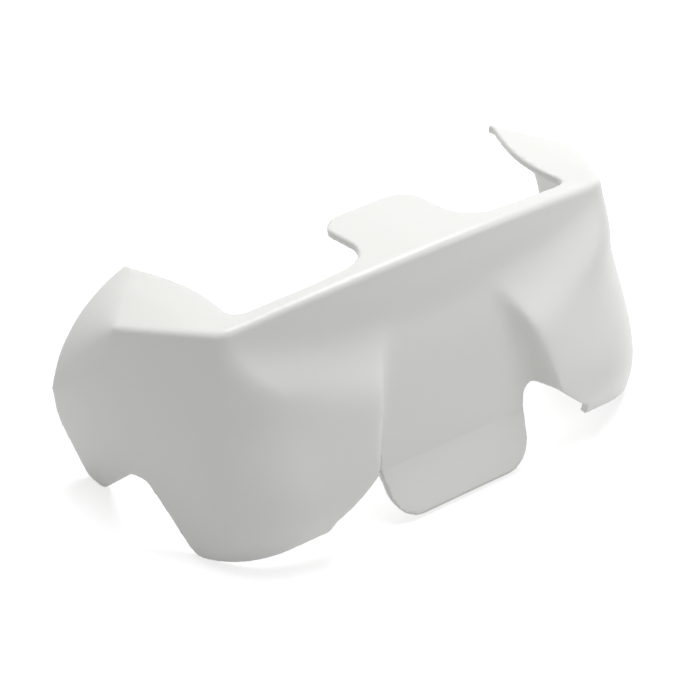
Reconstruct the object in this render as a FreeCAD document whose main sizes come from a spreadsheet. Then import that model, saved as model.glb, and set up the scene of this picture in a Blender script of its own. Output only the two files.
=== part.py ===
"""Rear helmet spoiler: one moulded shell with a raised ridge, wings, lobes, a recessed panel and a tongue.

Working frame: X to the right as seen from behind, Y towards the front of the helmet, Z up, with zero at
the bend of the ridge. The finished shell is moved so that it rests on Z = 0, centred on the origin.
"""
import FreeCAD, Part
import math
import os

from FreeCAD import Vector

os.makedirs("parts", exist_ok=True)
doc = FreeCAD.newDocument("helmet_spoiler")

# Driving sizes, millimetres and degrees
SIZES = {
    "wall": 2.6,
    # ridge: half width at its bend, how far its middle stands back and up, and its rounding
    "bend_half_width": 75.0,
    "ridge_setback": 9.0,
    "ridge_crown": 8.2,
    "ridge_radius": 2.6,
    "bend_reach": 10.0,
    # band between the ridge and the helmet
    "band_depth": 7.5,
    "band_fall": 1.6,
    # outer corner of the wing, measured from the bend
    "corner_flare": 16.6,
    "corner_forward": 33.7,
    "corner_drop": 10.8,
    # inner edge of the wing: its root from the bend, its tip from the outer corner
    "root_inset": 9.5,
    "root_forward": 7.6,
    "root_drop": 2.0,
    "root_radius": 8.0,
    "tip_inset": 18.8,
    "tip_forward": 22.5,
    "tip_rise": 2.7,
    "tip_radius": 5.0,
    # bevelled end of the wing, from the outer corner
    "wing_reach": 27.3,
    "bevel_shoulder_out": 3.9,
    "bevel_shoulder_drop": 6.4,
    "bevel_end_out": 10.2,
    "bevel_end_drop": 36.2,
    # side walls: how far they swell below the corner, and how straight ahead they run at the bottom
    "side_swell": 2.9,
    "bottom_splay": 82.0,
    "rest_drop": 80.0,
    # rear face from top to bottom: drop, distance behind the ridge, bow, and corner radius
    "crest_rise": 6.0,
    "crest_back": -0.2,
    "crest_bow": 8.8,
    "brow_drop": 3.0,
    "brow_back": -0.4,
    "brow_bow": 8.6,
    "brow_radius": 8.5,
    "neck_drop": 12.0,
    "neck_back": 1.2,
    "neck_bow": 5.0,
    "neck_radius": 14.0,
    "shoulder_drop": 26.0,
    "shoulder_back": 11.8,
    "shoulder_bow": 10.0,
    "shoulder_radius": 34.5,
    "swell_drop": 40.0,
    "swell_back": 18.0,
    "swell_bow": 11.0,
    "swell_radius": 35.0,
    "belly_drop": 57.0,
    "belly_back": 21.4,
    "belly_bow": 6.0,
    "belly_radius": 35.0,
    "tuck_drop": 69.0,
    "tuck_back": 18.4,
    "tuck_bow": 4.0,
    "tuck_radius": 31.0,
    "hem_back": 16.0,
    "hem_bow": 3.0,
    "hem_radius": 45.0,
    # recessed panel between the lobes
    "panel_back": 10.8,
    "panel_crease_drop": 61.4,
    "panel_crease_half_width": 33.9,
    "panel_fade_drop": 12.5,
    "panel_fade_half_width": 24.6,
    "panel_draft": 23.5,
    "panel_fillet": 2.5,
    # tongue under the panel
    "tongue_half_width": 29.0,
    "tongue_end_half_width": 26.4,
    "tongue_length": 17.6,
    "tongue_back": 8.6,
    "tongue_radius": 11.0,
    # notches between tongue and lobes, and the step in the lobes' hem
    "notch_width": 7.0,
    "notch_rise": 9.4,
    "notch_radius": 4.5,
    "step_half_width": 50.6,
    "step_drop": 66.6,
    "step_height": 5.4,
    "step_radius": 0.7,
    "hem_fall": 1.0,
    # arch and foot in each side wall, measured from the outer corner, and the wing's leading edge
    "arch_drop": 52.1,
    "arch_back": 13.2,
    "arch_width": 7.0,
    "arch_fall": 1.3,
    "arch_foot_back": 36.7,
    "foot_forward": 9.3,
    "foot_length": 8.5,
    "foot_radius": 5.0,
    "edge_knee_drop": 60.0,
    "edge_brow_drop": 34.0,
    "edge_lean": 6.5,
    # tab over the crown of the helmet
    "tab_half_width": 17.6,
    "tab_length": 33.0,
    "tab_fall_angle": 11.0,
    "tab_corner_radius": 8.0,
    "tab_flare_radius": 12.0,
}
sheet = doc.addObject("Spreadsheet::Sheet", "sizes")
for row, (name, value) in enumerate(SIZES.items(), start=1):
    sheet.set("A%d" % row, name)
    sheet.set("B%d" % row, str(value))
    sheet.setAlias("B%d" % row, name)
doc.recompute()


def size(name):
    return float(getattr(sheet, name))


def mirrored(point):
    return Vector(-point.x, point.y, point.z)


# Corner points of the right half
wall = size("wall")
rest = -size("rest_drop")
bend = Vector(size("bend_half_width"), 0, 0)
corner = bend + Vector(size("corner_flare"), size("corner_forward"), -size("corner_drop"))
tip = corner + Vector(-size("tip_inset"), size("tip_forward"), size("tip_rise"))
root = bend + Vector(-size("root_inset"), size("root_forward"), -size("root_drop"))
top_splay = math.degrees(math.atan2(size("corner_forward"), size("corner_flare")))
wing_front = corner.y + size("wing_reach")

# Working room around the part, for bodies that are trimmed afterwards
ROOM = size("rest_drop")
open_front = wing_front + 0.1 * ROOM


# Each helper adds one object to the document
def add_shape(label, shape):
    made = doc.addObject("Part::Feature", label)
    made.Shape = shape
    return made


def add_loft(label, wires, ruled):
    made = doc.addObject("Part::Loft", label)
    made.Sections = [add_shape("%s_%d" % (label, k), wire) for k, wire in enumerate(wires)]
    made.Solid = True
    made.Ruled = ruled
    return made


def add_extrusion(label, outline, direction, length):
    """Straight body from an outline; its length is an expression over the sheet."""
    made = doc.addObject("Part::Extrusion", label)
    made.Base = add_shape(label + "_outline", outline)
    made.DirMode = "Custom"
    made.Dir = direction
    made.setExpression("LengthFwd", length)
    made.Solid = True
    return made


def add_boolean(kind, label, base, tool):
    made = doc.addObject("Part::" + kind, label)
    made.Base = base
    made.Tool = tool
    doc.recompute()
    return made


def add_fillet(label, base, edges, radius):
    made = doc.addObject("Part::Fillet", label)
    made.Base = base
    numbers = [k for k, edge in enumerate(base.Shape.Edges, start=1) if any(edge.isSame(e) for e in edges)]
    made.Edges = [(k, radius, radius) for k in numbers]
    return made


X_AXIS = Vector(1, 0, 0)
Y_AXIS = Vector(0, 1, 0)
Z_AXIS = Vector(0, 0, 1)


# Outlines of straight runs with rounded corners; each corner is given as (a, b, radius)
def rounded_outline(corners, place):
    count = len(corners)
    joints = []
    for k, (a, b, radius) in enumerate(corners):
        here = Vector(a, b, 0)
        before = Vector(corners[k - 1][0], corners[k - 1][1], 0) - here
        after = Vector(corners[(k + 1) % count][0], corners[(k + 1) % count][1], 0) - here
        before.normalize()
        after.normalize()
        half = before.getAngle(after) / 2
        middle = before + after
        middle.normalize()
        reach = radius / math.tan(half)
        apex = here + middle * (radius / math.sin(half) - radius)
        joints.append((here + before * reach, apex, here + after * reach))
    edges = []
    for k, (entry, apex, leave) in enumerate(joints):
        if corners[k][2] > 0:
            edges.append(Part.Arc(place(entry), place(apex), place(leave)).toShape())
        following = joints[(k + 1) % count][0]
        edges.append(Part.LineSegment(place(leave), place(following)).toShape())
    return Part.Face(Part.Wire(edges))


def both_sides(half):
    return half + [(-a, b, radius) for a, b, radius in reversed(half)]


def seen_from_side(q):
    return Vector(-2 * ROOM, q.x, q.y)


def seen_from_rear(q):
    return Vector(q.x, -ROOM, q.y)


# Outer form: plan outlines at nine levels, lofted
def level(name):
    return [-size(name + "_drop")] + [size(name + suffix) for suffix in ("_back", "_bow", "_radius")]


LEVELS = [
    [0.2 * ROOM, 0.0, size("ridge_setback"), size("brow_radius")],
    [size("crest_rise"), size("crest_back"), size("crest_bow"), size("brow_radius")],
    level("brow"),
    level("neck"),
    level("shoulder"),
    level("swell"),
    level("belly"),
    level("tuck"),
    [rest - 0.075 * ROOM] + [size("hem" + suffix) for suffix in ("_back", "_bow", "_radius")],
]


def level_wire(z, back, bow, radius, inset):
    """Closed plan outline at one level, moved inwards by inset, its front end open to the helmet."""
    depth = max(-z, 0.0)
    below_corner = depth - size("corner_drop")
    splay = math.radians(top_splay + (size("bottom_splay") - top_splay) * depth / size("rest_drop"))
    side = corner.x + size("side_swell") * math.sin(math.pi * below_corner / (1.25 * size("rest_drop")))
    ahead = Vector(math.cos(splay), math.sin(splay), 0)
    out = Vector(math.sin(splay), -math.cos(splay), 0)
    on_side = Vector(side, corner.y, 0) - out * inset
    rear_y = inset - size("ridge_setback") - back
    # point where the bowed rear line meets the side line
    y = rear_y + bow
    for step in range(12):
        x = on_side.x - (on_side.y - y) * ahead.x / ahead.y
        y = rear_y + bow * (x / bend.x) ** 2
    slope = math.atan(2 * bow * x / bend.x ** 2)
    turn = splay - slope
    r = radius - inset
    start = Vector(x, y, 0) - Vector(math.cos(slope), math.sin(slope), 0) * (r * math.tan(turn / 2))
    centre = start + Vector(-math.sin(slope), math.cos(slope), 0) * r
    stop = centre + out * r
    half = slope + turn / 2
    middle = centre + Vector(math.sin(half), -math.cos(half), 0) * r
    front = stop + ahead * ((open_front - stop.y) / ahead.y)
    # middle pole of the rear curve, which makes it tangent to both corner arcs
    pole = Vector(0, start.y - start.x * math.tan(slope), 0)

    def place(point, sign):
        return Vector(sign * point.x, point.y, z)

    rear = Part.BezierCurve()
    rear.setPoles([place(start, -1), place(pole, 1), place(start, 1)])
    return Part.Wire([
        Part.LineSegment(place(front, -1), place(stop, -1)).toShape(),
        Part.Arc(place(stop, -1), place(middle, -1), place(start, -1)).toShape(),
        rear.toShape(),
        Part.Arc(place(start, 1), place(middle, 1), place(stop, 1)).toShape(),
        Part.LineSegment(place(stop, 1), place(front, 1)).toShape(),
        Part.LineSegment(place(front, 1), place(front, -1)).toShape(),
    ])


# Top face: ruled between the ridge line and the helmet-side edge, both smooth at the bend
def top_curve(far, near, turn, middle):
    """Straight along a wing, a short bend, the arched middle, and its mirror image."""
    poles = [far, near, turn, middle, mirrored(turn), mirrored(near), mirrored(far)]
    curve = Part.BSplineCurve()
    curve.buildFromPolesMultsKnots(poles, [3, 1, 1, 1, 1, 3], top_knots, False, 2)
    return curve.toShape()


FAR = 1.15 * open_front / corner.y
ridge_pole = Vector(0, -2 * size("ridge_setback"), 2 * size("ridge_crown"))
wing_span = 0.8 * (corner - bend).Length / size("bend_reach") - 1
middle_span = (ridge_pole - bend).Length / size("bend_reach") - 1
top_knots = [0.0, wing_span, wing_span + 1, wing_span + middle_span + 1, wing_span + middle_span + 2]
top_knots.append(2 * wing_span + middle_span + 2)
ridge_line = [bend + (corner - bend) * FAR, bend + (corner - bend) * 0.8, bend, ridge_pole]
band_middle = Vector(0, size("band_depth") - size("ridge_setback"), size("ridge_crown") - size("band_fall"))
band_pole = band_middle * 2 - Vector(0, root.y, root.z)
band_line = [root + (tip - root) * FAR, root + (tip - root) * 0.8, root, band_pole]


def space_above_top(label, drop):
    """Everything above the top face, lowered by drop."""
    lines = []
    for share in (-1.5, 2.5):
        poles = [p * (1 - share) + q * share - Z_AXIS * drop for p, q in zip(ridge_line, band_line)]
        lines.append(top_curve(*poles))
    return add_extrusion(label, Part.makeRuledSurface(lines[0], lines[1]), Z_AXIS, "sizes.rest_drop")


# Bevelled end of each wing: a cone with its point at the wing's outer corner
def bevel_cone(sign, shift):
    start = corner + (tip - corner) * (size("wing_reach") / size("tip_forward"))
    shoulder = corner + Vector(size("bevel_shoulder_out"), size("wing_reach"), -size("bevel_shoulder_drop"))
    end = corner + Vector(size("bevel_end_out"), size("wing_reach"), -size("bevel_end_drop"))
    start, shoulder, end = [corner + (q - corner) * 1.6 for q in (start, shoulder, end)]
    away = end + (end - shoulder) * 3
    bevel = Part.BezierCurve()
    bevel.setPoles([start, shoulder, end])
    loop = [end, away, Vector(away.x, end.y, ROOM), Vector(start.x, start.y, ROOM), start]
    base = Part.Wire([bevel.toShape()] + Part.makePolygon(loop).Edges)
    cone = Part.makeLoft([base, Part.Vertex(corner)], True, True)
    cone.translate(shift)
    return cone if sign > 0 else cone.mirror(Vector(0, 0, 0), X_AXIS)


def bevelled(label, body, shift):
    for side, sign in (("right", 1), ("left", -1)):
        cone = add_shape("%s_cone_%s" % (label, side), bevel_cone(sign, shift))
        body = add_boolean("Cut", "%s_bevelled_%s" % (label, side), body, cone)
    return body


# Recess behind the panel: its profile from the side, its outline widening to the rear
def recess(label, grow):
    fade = -size("panel_fade_drop")
    face = grow - size("ridge_setback") - size("panel_back")
    begin = face + size("panel_back") - size("neck_back")
    floor = rest - 0.5 * ROOM
    profile = Part.BezierCurve()
    profile.setPoles([Vector(0, begin, fade), Vector(0, face, 0.65 * fade + 0.35 * crease), Vector(0, face, crease)])
    loop = [Vector(0, face, crease), Vector(0, face, floor), Vector(0, -ROOM, floor), Vector(0, -ROOM, fade)]
    side = Part.Face(Part.Wire([profile.toShape()] + Part.makePolygon(loop + [Vector(0, begin, fade)]).Edges))
    side.translate(X_AXIS * -ROOM)
    slab = add_extrusion(label + "_slab", side, X_AXIS, "sizes.rest_drop * 2")
    widening = math.tan(math.radians(size("panel_draft")))
    lean = (size("panel_crease_half_width") - size("panel_fade_half_width")) / (fade - crease)
    above = 0.1 * ROOM
    wires = []
    for y in (face + 0.25 * ROOM, -ROOM):
        spread = (face - grow - y) * widening + grow
        high = size("panel_fade_half_width") + spread - above * lean
        low = size("panel_crease_half_width") + spread + (crease - floor) * lean
        points = [Vector(-high, y, fade + above), Vector(high, y, fade + above)]
        points += [Vector(low, y, floor), Vector(-low, y, floor)]
        wires.append(Part.makePolygon(points + points[:1]))
    block = add_boolean("Common", label + "_block", slab, add_loft(label + "_wedge", wires, True))
    upright = [e for e in block.Shape.Edges if abs(e.tangentAt(e.FirstParameter).z) > 0.5]
    upright = [e for e in upright if e.CenterOfMass.y > face - 1]
    return add_fillet(label, block, upright, size("panel_fillet") + grow)


crease = -size("panel_crease_drop")

# Outer body: lofted form under the top face, with its rim rounded and its wings bevelled
outer_form = add_loft("outer_form", [level_wire(*row, 0.0) for row in LEVELS], False)
outer_topped = add_boolean("Cut", "outer_topped", outer_form, space_above_top("above_outer", 0.0))


def is_top(face):
    u, v = [sum(face.ParameterRange[k:k + 2]) / 2 for k in (0, 2)]
    return face.normalAt(u, v).z > 0.8 and face.CenterOfMass.z > 0.5 * rest


top = next(face for face in outer_topped.Shape.Faces if is_top(face))
walls = [face for face in outer_topped.Shape.Faces if face.CenterOfMass.z < 0.375 * rest]
walls = [face for face in walls if face.CenterOfMass.y < 0.65 * wing_front]
wall_edges = [edge for face in walls for edge in face.Edges]
rim = [edge for edge in top.Edges if any(edge.isSame(other) for other in wall_edges)]
outer_rounded = add_fillet("outer_rounded", outer_topped, rim, size("ridge_radius"))
outer_body = bevelled("outer", outer_rounded, Vector(0, 0, 0))

# Inner body, one wall inside the outer body
inner_form = add_loft("inner_form", [level_wire(*row, wall) for row in LEVELS], False)
inner_topped = add_boolean("Cut", "inner_topped", inner_form, space_above_top("above_inner", wall))
inner_body = bevelled("inner", inner_topped, Vector(-wall, 0, -0.75 * wall))

outer_recessed = add_boolean("Cut", "outer_recessed", outer_body, recess("recess_outer", 0.0))
inner_recessed = add_boolean("Cut", "inner_recessed", inner_body, recess("recess_inner", wall))
hollow = add_boolean("Cut", "hollow", outer_recessed, inner_recessed)

# Side view: hem, arch in each side wall, foot and leading edge of the wing
arch_y = corner.y - size("arch_back")
arch_z = corner.z - size("arch_drop")
foot_y = corner.y + size("foot_forward")
foot_radius = size("foot_radius")
side_outline = [
    (-ROOM, rest, 0),
    (corner.y - size("arch_foot_back"), rest, foot_radius + 1),
    (arch_y, arch_z, foot_radius),
    (arch_y + size("arch_width"), arch_z - size("arch_fall"), foot_radius),
    (foot_y, rest, foot_radius - 1),
    (foot_y + size("foot_length"), rest, foot_radius),
    (wing_front, -size("edge_knee_drop"), 4 * foot_radius),
    (wing_front, -size("edge_brow_drop"), 6 * foot_radius),
    (wing_front - size("edge_lean"), 0.5 * ROOM, 0),
    (-ROOM, 0.5 * ROOM, 0),
]
side_trim = add_extrusion("side_trim", rounded_outline(side_outline, seen_from_side), X_AXIS, "sizes.rest_drop * 4")
side_trimmed = add_boolean("Common", "side_trimmed", hollow, side_trim)

# Rear view: notches beside the tongue, step and slope of the lobes' hem
notch_top = crease + size("notch_rise")
notch_side = size("tongue_half_width") + size("notch_width")
step_x = size("step_half_width")
step_z = -size("step_drop")
hem_outline = both_sides([
    (size("tongue_half_width"), crease, 0),
    (size("tongue_half_width"), notch_top, size("notch_radius")),
    (notch_side, notch_top, 0.67 * size("notch_radius")),
    (step_x, step_z, size("step_radius")),
    (step_x + 0.25 * size("step_height"), step_z - size("step_height"), size("step_radius")),
    (corner.x, rest - size("hem_fall"), 0),
    (corner.x, rest - 0.5 * ROOM, 0),
])
hem_trim = add_extrusion("hem_trim", rounded_outline(hem_outline, seen_from_rear), Y_AXIS, "sizes.rest_drop + 2")
hem_trimmed = add_boolean("Cut", "hem_trimmed", side_trimmed, hem_trim)

# Tab over the crown: the helmet-side edge of the band swept forwards and down
fall = math.radians(size("tab_fall_angle"))
run = Vector(0, math.cos(fall), -math.sin(fall))
tab_length = size("tab_length") + size("band_depth")
lead = top_curve(*band_line)
lead.translate(run * -1.0 - Z_AXIS * 0.1)
tab_slab = add_extrusion("tab_slab", lead.extrude(run * tab_length), -Z_AXIS, "sizes.wall")
tab_room = 2 * size("tab_half_width")
tab_square = both_sides([(tab_room, -0.25 * ROOM, 0), (tab_room, ROOM, 0)])
tab_box = add_extrusion(
    "tab_box", rounded_outline(tab_square, lambda q: Vector(q.x, q.y, -0.5 * ROOM)), Z_AXIS, "sizes.rest_drop")
tab_block = add_boolean("Common", "tab_block", tab_slab, tab_box)
with_tab = add_boolean("Fuse", "with_tab", hem_trimmed, tab_block)

# Plan view: helmet-side edge of wings, band and tab
tab_half = size("tab_half_width")
between = 0.5 * (tab_half + root.x)
between_y = band_middle.y + (root.y - band_middle.y) * (between / root.x) ** 2
plan_outline = both_sides([
    (tab_half, band_middle.y + size("tab_length"), size("tab_corner_radius")),
    (tab_half, band_middle.y + 0.9, size("tab_flare_radius")),
    (between, between_y - 0.8, 60.0),
    (root.x, root.y, size("root_radius")),
    (tip.x, tip.y, size("tip_radius")),
    (tip.x + 1.5, 1.6 * ROOM, 0),
])
opening = add_extrusion(
    "opening", rounded_outline(plan_outline, lambda q: Vector(q.x, q.y, -26)), Z_AXIS, "sizes.rest_drop")
opened = add_boolean("Cut", "opened", with_tab, opening)

# Tongue: slopes back from the panel's crease
panel_y = -size("ridge_setback") - size("panel_back")
tongue_z = crease - size("tongue_length")
tongue_y = panel_y - size("tongue_back")
tongue_profile = [
    (panel_y, crease + 3, 0),
    (panel_y, crease, 0.01),
    (tongue_y, tongue_z, 0),
    (tongue_y + wall, tongue_z, 0),
    (panel_y + wall, crease - 1, 0),
    (panel_y + wall, crease + 3, 0),
]
tongue_slab = add_extrusion(
    "tongue_slab", rounded_outline(tongue_profile, seen_from_side), X_AXIS, "sizes.rest_drop * 4")
tongue_outline = both_sides([
    (size("tongue_half_width"), crease + 3, 0),
    (size("tongue_half_width"), crease, 4),
    (size("tongue_end_half_width"), tongue_z, size("tongue_radius")),
])
tongue_trim = add_extrusion(
    "tongue_trim", rounded_outline(tongue_outline, seen_from_rear), Y_AXIS, "sizes.rest_drop")
tongue = add_boolean("Common", "tongue", tongue_slab, tongue_trim)
whole = add_boolean("Fuse", "whole", opened, tongue)

# Finished shell, resting on Z = 0 with the centre of its bounding box over the origin
shell = add_shape("spoiler_shell", whole.Shape.removeSplitter().Solids[0])
shell.Label = "spoiler_shell"
box = shell.Shape.optimalBoundingBox(False, False)
shell.Placement.Base = Vector(-(box.XMin + box.XMax) / 2, -(box.YMin + box.YMax) / 2, -box.ZMin)
doc.recompute()

for made in doc.Objects:
    if "Invalid" in made.State or "Error" in made.State:
        raise RuntimeError("%s did not recompute" % made.Label)
if shell.Shape.isNull() or not shell.Shape.isValid():
    raise RuntimeError("the shell is not a valid solid")
shell.Shape.exportStep("parts/spoiler_shell.step")
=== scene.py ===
"""Studio picture of a moulded white helmet spoiler standing on a white floor."""
import math

import bpy
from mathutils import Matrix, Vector


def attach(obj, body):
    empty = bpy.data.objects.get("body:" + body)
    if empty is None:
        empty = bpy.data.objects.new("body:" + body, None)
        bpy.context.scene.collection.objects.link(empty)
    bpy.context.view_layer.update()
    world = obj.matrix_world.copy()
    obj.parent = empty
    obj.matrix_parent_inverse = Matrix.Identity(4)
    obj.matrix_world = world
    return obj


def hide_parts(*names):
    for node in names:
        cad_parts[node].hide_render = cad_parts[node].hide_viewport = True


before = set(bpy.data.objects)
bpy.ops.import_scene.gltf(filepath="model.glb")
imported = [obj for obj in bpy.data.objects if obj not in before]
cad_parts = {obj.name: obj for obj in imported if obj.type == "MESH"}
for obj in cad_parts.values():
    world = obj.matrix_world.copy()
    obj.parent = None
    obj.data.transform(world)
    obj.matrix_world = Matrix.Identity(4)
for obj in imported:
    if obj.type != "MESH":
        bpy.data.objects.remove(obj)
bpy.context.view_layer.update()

bpy.ops.object.select_all(action="DESELECT")

# Lengths are in metres, in the frame of the part: X across, Y towards the front of the helmet, Z up.
# The recess is blended over these spans, in full at the first value and not at all at the second.
RECESS_HALF_WIDTH = (0.037, 0.048)
RECESS_TOP = (0.068, 0.076)
RECESS_FOOT = (0.042, 0.031)
RECESS_ROUNDS = 60

# inner edge of the right wing: X and Y of its root and its tip, and the most that it bows inwards
EDGE_ROOT = (0.0655, -0.0079)
EDGE_TIP = (0.0728, 0.0407)
EDGE_BOW = 0.0038
# the bow dies out over this width of the wing, and moves nothing below or further in than these
BOW_WIDTH = 0.008
BOW_LOWEST = 0.066
BOW_INNERMOST = 0.045


def linear(code):
    """Linear colour with alpha from an sRGB hex code."""
    channels = [int(code[k:k + 2], 16) / 255 for k in (0, 2, 4)]
    return [c / 12.92 if c <= 0.04045 else ((c + 0.055) / 1.055) ** 2.4 for c in channels] + [1.0]


def add_node(tree, kind, settings=None, values=None, links=None):
    """New shader node with its settings, socket values and incoming links."""
    node = tree.nodes.new(kind)
    for name, value in (settings or {}).items():
        setattr(node, name, value)
    for name, value in (values or {}).items():
        node.inputs[name].default_value = value
    for name, source in (links or {}).items():
        tree.links.new(source, node.inputs[name])
    return node


def moulded_abs():
    """Moulded ABS, coloured white all through: smooth, with a soft gloss and a little light inside its skin."""
    # unevenness of the moulded skin, about 1.1 mm across
    grains_per_metre = 900.0
    material = bpy.data.materials.new("moulded_abs_white")
    material.use_nodes = True
    tree = material.node_tree
    tree.nodes.clear()
    place = add_node(tree, "ShaderNodeTexCoord")
    grain = add_node(tree, "ShaderNodeTexNoise", values={"Scale": grains_per_metre, "Detail": 2.0},
                     links={"Vector": place.outputs["Object"]})
    bump = add_node(tree, "ShaderNodeBump", values={"Strength": 0.02, "Distance": 0.0002},
                    links={"Height": grain.outputs["Fac"]})
    surface = add_node(tree, "ShaderNodeBsdfPrincipled", values={
        "Base Color": linear("E9E9E6"),
        "Roughness": 0.36,
        "IOR": 1.54,
        "Subsurface Weight": 0.15,
        "Subsurface Radius": (1.0, 1.0, 0.95),
        "Subsurface Scale": 0.002,
    }, links={"Normal": bump.outputs["Normal"]})
    add_node(tree, "ShaderNodeOutputMaterial", links={"Surface": surface.outputs["BSDF"]})
    return material


# Helpers for the shell's mesh
def fade(value, full, none):
    """One up to full, falling evenly to zero at none."""
    return min(max((none - value) / (none - full), 0.0), 1.0)


def add_weights(shell, name, weight_at):
    """Vertex group with a weight worked out from each vertex's place."""
    group = shell.vertex_groups.new(name=name)
    for vertex in shell.data.vertices:
        weight = weight_at(vertex.co)
        if weight > 0:
            group.add([vertex.index], weight, "REPLACE")
    return group.name


def apply_modifier(shell, name, kind, **settings):
    modifier = shell.modifiers.new(name, kind)
    for setting, value in settings.items():
        setattr(modifier, setting, value)
    bpy.ops.object.modifier_apply(modifier=name)


def shell_copy():
    """The modelled solid with its loose faces joined and its mesh made even, with cells of about 0.9 mm."""
    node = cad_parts["spoiler_shell"]
    shell = node.copy()
    shell.data = node.data.copy()
    shell.name = "shell_skin"
    bpy.context.collection.objects.link(shell)
    bpy.context.view_layer.objects.active = shell
    shell.select_set(True)
    bpy.ops.object.mode_set(mode="EDIT")
    bpy.ops.mesh.select_all(action="SELECT")
    bpy.ops.mesh.remove_doubles(threshold=0.00001)
    bpy.ops.mesh.normals_make_consistent(inside=False)
    bpy.ops.object.mode_set(mode="OBJECT")
    apply_modifier(shell, "even_mesh", "REMESH", mode="SHARP", octree_depth=8, scale=0.9, sharpness=1.0)
    return shell


def blend_recess(shell):
    """Let the top of the recess melt into the lobes."""
    def weight_at(place):
        across = fade(abs(place.x), *RECESS_HALF_WIDTH)
        return across * fade(place.z, *RECESS_TOP) * fade(place.z, *RECESS_FOOT)

    group = add_weights(shell, "recess_blend", weight_at)
    apply_modifier(shell, "soft_recess_top", "SMOOTH", factor=0.5, iterations=RECESS_ROUNDS, vertex_group=group)


def bow_wing_edge(shell, side, sign):
    """Bow a wing's inner edge a little towards the helmet between its root and its tip."""
    def weight_at(place):
        along = (place.y - EDGE_ROOT[1]) / (EDGE_TIP[1] - EDGE_ROOT[1])
        edge = EDGE_ROOT[0] + (EDGE_TIP[0] - EDGE_ROOT[0]) * along
        out = sign * place.x
        if not 0 < along < 1 or place.z < BOW_LOWEST or out < BOW_INNERMOST:
            return 0
        return math.sin(math.pi * along) * fade(out, edge, edge + BOW_WIDTH)

    group = add_weights(shell, "wing_edge_" + side, weight_at)
    apply_modifier(shell, "bow_" + side, "DISPLACE", direction="X", mid_level=0.0,
                   strength=-EDGE_BOW * sign, vertex_group=group)


def spoiler_shell():
    """The shell as shown, with the soft edges of a moulding."""
    shell = shell_copy()
    blend_recess(shell)
    for side, sign in (("right", 1), ("left", -1)):
        bow_wing_edge(shell, side, sign)
    apply_modifier(shell, "moulded_edges", "SMOOTH", factor=0.5, iterations=2)
    bpy.ops.object.shade_smooth()
    shell.data.materials.clear()
    shell.data.materials.append(moulded_abs())
    shell.select_set(False)
    return shell


shell = spoiler_shell()
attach(shell, "root")
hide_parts("spoiler_shell")


def meets_white(tree):
    """One for the rays that see the white surroundings: from the camera, in gloss and through clear parts."""
    path = add_node(tree, "ShaderNodeLightPath")
    seen = path.outputs["Is Camera Ray"]
    for kind in ("Is Glossy Ray", "Is Transmission Ray"):
        larger = add_node(tree, "ShaderNodeMath", settings={"operation": "MAXIMUM"},
                          links={0: seen, 1: path.outputs[kind]})
        seen = larger.outputs[0]
    return seen


def white_paper():
    """Matt white paper: it looks pure white and still takes the shell's faint shadow."""
    material = bpy.data.materials.new("white_floor")
    material.use_nodes = True
    tree = material.node_tree
    tree.nodes.clear()
    lift = add_node(tree, "ShaderNodeMath", settings={"operation": "MULTIPLY"}, values={1: 0.6},
                    links={0: meets_white(tree)})
    paper = add_node(tree, "ShaderNodeBsdfDiffuse", values={"Color": linear("DADADA")})
    glow = add_node(tree, "ShaderNodeEmission", values={"Color": linear("FFFFFF")},
                    links={"Strength": lift.outputs[0]})
    surface = add_node(tree, "ShaderNodeAddShader", links={0: paper.outputs[0], 1: glow.outputs[0]})
    add_node(tree, "ShaderNodeOutputMaterial", links={"Surface": surface.outputs[0]})
    return material


# Floor, half a millimetre under the shell
FLOOR_WIDTH = 8.0
FLOOR_LEVEL = -0.0005
bpy.ops.mesh.primitive_plane_add(size=FLOOR_WIDTH, location=(0, 0, FLOOR_LEVEL))
floor = bpy.context.active_object
floor.name = "floor"
floor.data.materials.append(white_paper())


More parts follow.
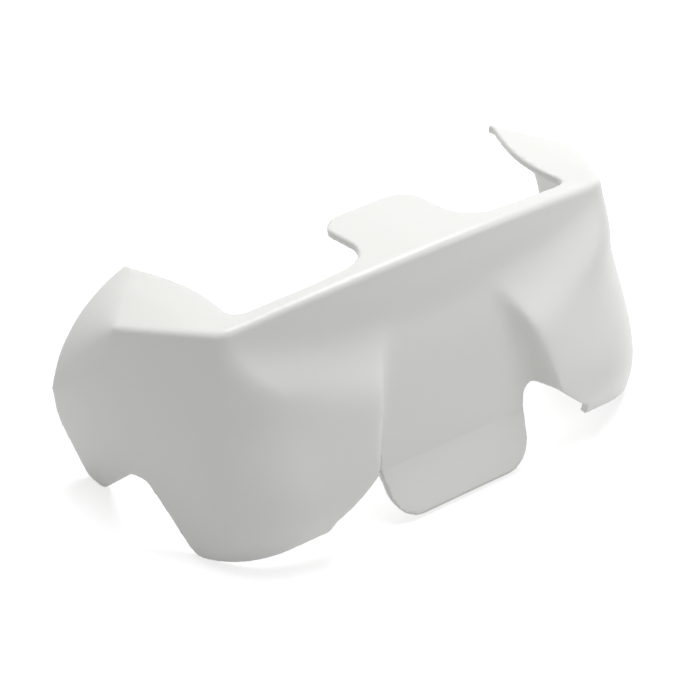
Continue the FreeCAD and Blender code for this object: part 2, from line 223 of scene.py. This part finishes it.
def studio_world():
    """Soft light from all round, in front of a white backdrop."""
    world = bpy.data.worlds.new("studio")
    world.use_nodes = True
    tree = world.node_tree
    tree.nodes.clear()
    light = add_node(tree, "ShaderNodeBackground", values={"Color": linear("FFFFFF"), "Strength": 0.28})
    white = add_node(tree, "ShaderNodeBackground", values={"Color": linear("FFFFFF"), "Strength": 1.0})
    mix = add_node(tree, "ShaderNodeMixShader",
                   links={0: meets_white(tree), 1: light.outputs[0], 2: white.outputs[0]})
    add_node(tree, "ShaderNodeOutputWorld", links={"Surface": mix.outputs[0]})
    return world


bpy.context.scene.world = studio_world()

# Lamps face the middle of the shell
MIDDLE = Vector((0, 0, 0.04))


def soft_light(name, place, size, power):
    data = bpy.data.lights.new(name, "AREA")
    data.shape = "SQUARE"
    data.size = size
    data.energy = power
    lamp = bpy.data.objects.new(name, data)
    bpy.context.collection.objects.link(lamp)
    lamp.location = place
    lamp.rotation_euler = (MIDDLE - Vector(place)).to_track_quat("-Z", "Y").to_euler()


soft_light("overhead", place=(0.32, 0.3, 1.25), size=0.9, power=14.1)
soft_light("right_fill", place=(0.7, -0.8, 0.45), size=0.8, power=2.6)
soft_light("left_fill", place=(-0.85, -0.25, 0.5), size=0.8, power=0.75)

# Camera: its direction from the bend of the ridge, its distance, and its steps to the right and up
BEND = Vector((0, -0.0155, 0.08))
AZIMUTH = math.radians(-35.0)
ELEVATION = math.radians(37.3)
DISTANCE = 0.760
STEP_RIGHT = -0.02204
STEP_UP = -0.03016
# lens: focal length in pixels of a picture this wide, on a sensor in millimetres
FOCAL_PIXELS = 2420
PICTURE_PIXELS = 700
SENSOR = 36
level = math.cos(ELEVATION)
back = Vector((math.sin(AZIMUTH) * level, -math.cos(AZIMUTH) * level, math.sin(ELEVATION)))
right = Vector((math.cos(AZIMUTH), math.sin(AZIMUTH), 0))
up = back.cross(right)
data = bpy.data.cameras.new("camera")
data.sensor_width = SENSOR
data.lens = FOCAL_PIXELS / PICTURE_PIXELS * SENSOR
data.clip_start = 0.01
camera = bpy.data.objects.new("camera", data)
bpy.context.collection.objects.link(camera)
camera.location = BEND + back * DISTANCE + right * STEP_RIGHT + up * STEP_UP
camera.rotation_euler = back.to_track_quat("Z", "Y").to_euler()
bpy.context.scene.camera = camera
bpy.context.scene.view_settings.view_transform = "Standard"
